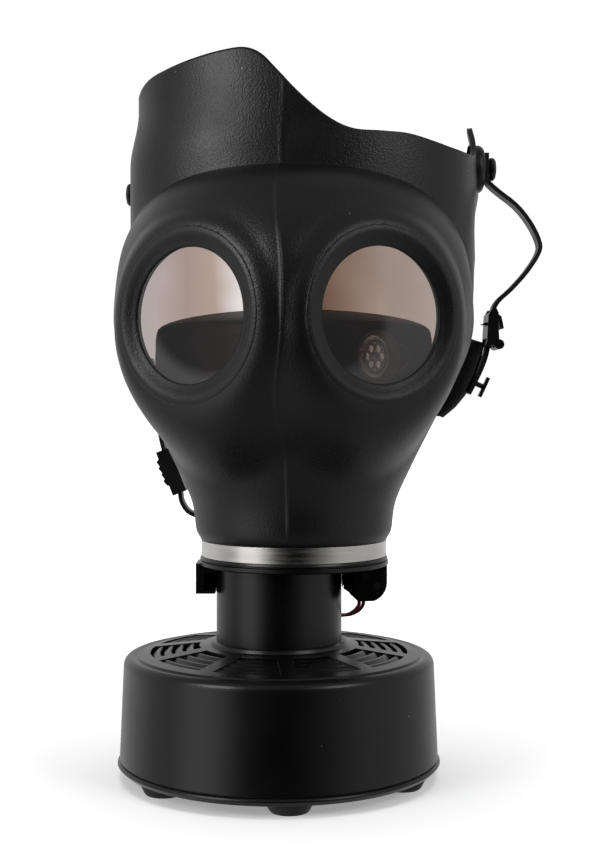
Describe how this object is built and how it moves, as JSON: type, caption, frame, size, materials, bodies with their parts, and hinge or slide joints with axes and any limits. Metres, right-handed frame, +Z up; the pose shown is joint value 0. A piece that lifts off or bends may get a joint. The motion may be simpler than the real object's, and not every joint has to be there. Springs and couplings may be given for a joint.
{
  "type": "respirator",
  "caption": "Full-face rubber respirator mask with round eyepieces, standing on a round powered filter base with steel clamp band and side straps.",
  "frame": {"origin": "on the floor under the centre of the round base", "axes": "+Z up through the base and neck tube, -Y is the side the eyepieces face, +X is the viewer's right from the front"},
  "size_m": [0.2069, 0.1638, 0.331],
  "materials": {
    "satin_plastic": "satin moulded",
    "foot_rubber": "matte",
    "seal_rubber": "matte",
    "zinc": "zinc plated",
    "black_steel": "black oxide",
    "filter_paper": "pleated paper",
    "grey_plastic": "matte",
    "grille_plastic": "semi gloss",
    "motor_metal": "drawn can",
    "impeller_plastic": "matte",
    "red_insulation": "gloss",
    "black_insulation": "gloss",
    "brushed_steel": "brushed around the band",
    "face_rubber": "fine pebble grain, satin",
    "rim_plastic": "satin",
    "lens": "clear with a faint warm tint",
    "inner_rubber": "smooth",
    "clear_plastic": "clear moulded",
    "clear_silicone": "translucent",
    "fitting_plastic": "semi gloss",
    "strap_rubber": "smooth satin"
  },
  "bodies": {
    "base": {"base_plate": "satin_plastic", "feet": "foot_rubber", "base_gasket": "seal_rubber", "base_screws": "zinc", "filter_pleats": "filter_paper", "filter_caps": "grey_plastic"},
    "impeller": {"motor_shaft": "zinc", "impeller": "impeller_plastic"},
    "band_screw": {"clamp_screw": "zinc"},
    "inhalation_flap": {"valve_disc": "clear_silicone"},
    "right_lever": {"buckle_lever": "fitting_plastic"},
    "left_lever": {"slider_lever": "fitting_plastic"},
    "mask": {"canister": "satin_plastic", "louvre_ring": "grille_plastic", "neck_tube": "satin_plastic", "motor_bracket": "grey_plastic", "motor": "motor_metal", "motor_screws": "zinc", "wire_grommet": "seal_rubber", "red_wire": "red_insulation", "black_wire": "black_insulation", "collar": "satin_plastic", "collar_cover": "satin_plastic", "cover_screws": "black_steel", "collar_seal": "seal_rubber", "clamp_band": "brushed_steel", "clamp_nut": "zinc", "facepiece": "face_rubber", "eye_rim_left": "rim_plastic", "eye_rim_right": "rim_plastic", "eye_gasket_left": "seal_rubber", "eye_gasket_right": "seal_rubber", "lens_left": "lens", "lens_right": "lens", "eye_retainer_left": "grey_plastic", "eye_retainer_right": "grey_plastic", "inner_mask": "inner_rubber", "valve_seat": "clear_plastic", "valve_clip": "clear_plastic", "button_right": "fitting_plastic", "button_left": "fitting_plastic", "washer_left": "fitting_plastic", "strap_right": "strap_rubber", "buckle_right": "fitting_plastic", "cheek_strap_right": "strap_rubber", "t_stud_right": "fitting_plastic", "cheek_strap_left": "strap_rubber", "slider_left": "fitting_plastic", "t_stud_left": "fitting_plastic"}
  },
  "joints": [
    {"name": "base_lift", "type": "slide", "parent": "base", "child": "mask", "axis": [0, 0, 1], "range_m": [0, 0.06]},
    {"name": "impeller_spin", "type": "hinge", "parent": "mask", "child": "impeller", "pos_m": [0, 0, 0.045], "axis": [0, 0, 1], "continuous": true},
    {"name": "band_screw_turn", "type": "hinge", "parent": "mask", "child": "band_screw", "pos_m": [0.007, 0.0485, 0.1072], "axis": [1, 0, 0], "continuous": true},
    {"name": "flap_open", "type": "slide", "parent": "mask", "child": "inhalation_flap", "axis": [-0.5592, 0.829, 0], "range_m": [0, 0.0013], "stiffness_N_per_m": 5},
    {"name": "right_lever_open", "type": "hinge", "parent": "mask", "child": "right_lever", "pos_m": [0.1063, 0.028, 0.2166], "axis": [0, -1, 0], "range_deg": [0, 50]},
    {"name": "left_lever_open", "type": "hinge", "parent": "mask", "child": "left_lever", "pos_m": [-0.0588, 0.04, 0.14663], "axis": [0, 1, 0], "range_deg": [0, 50]}
  ]
}
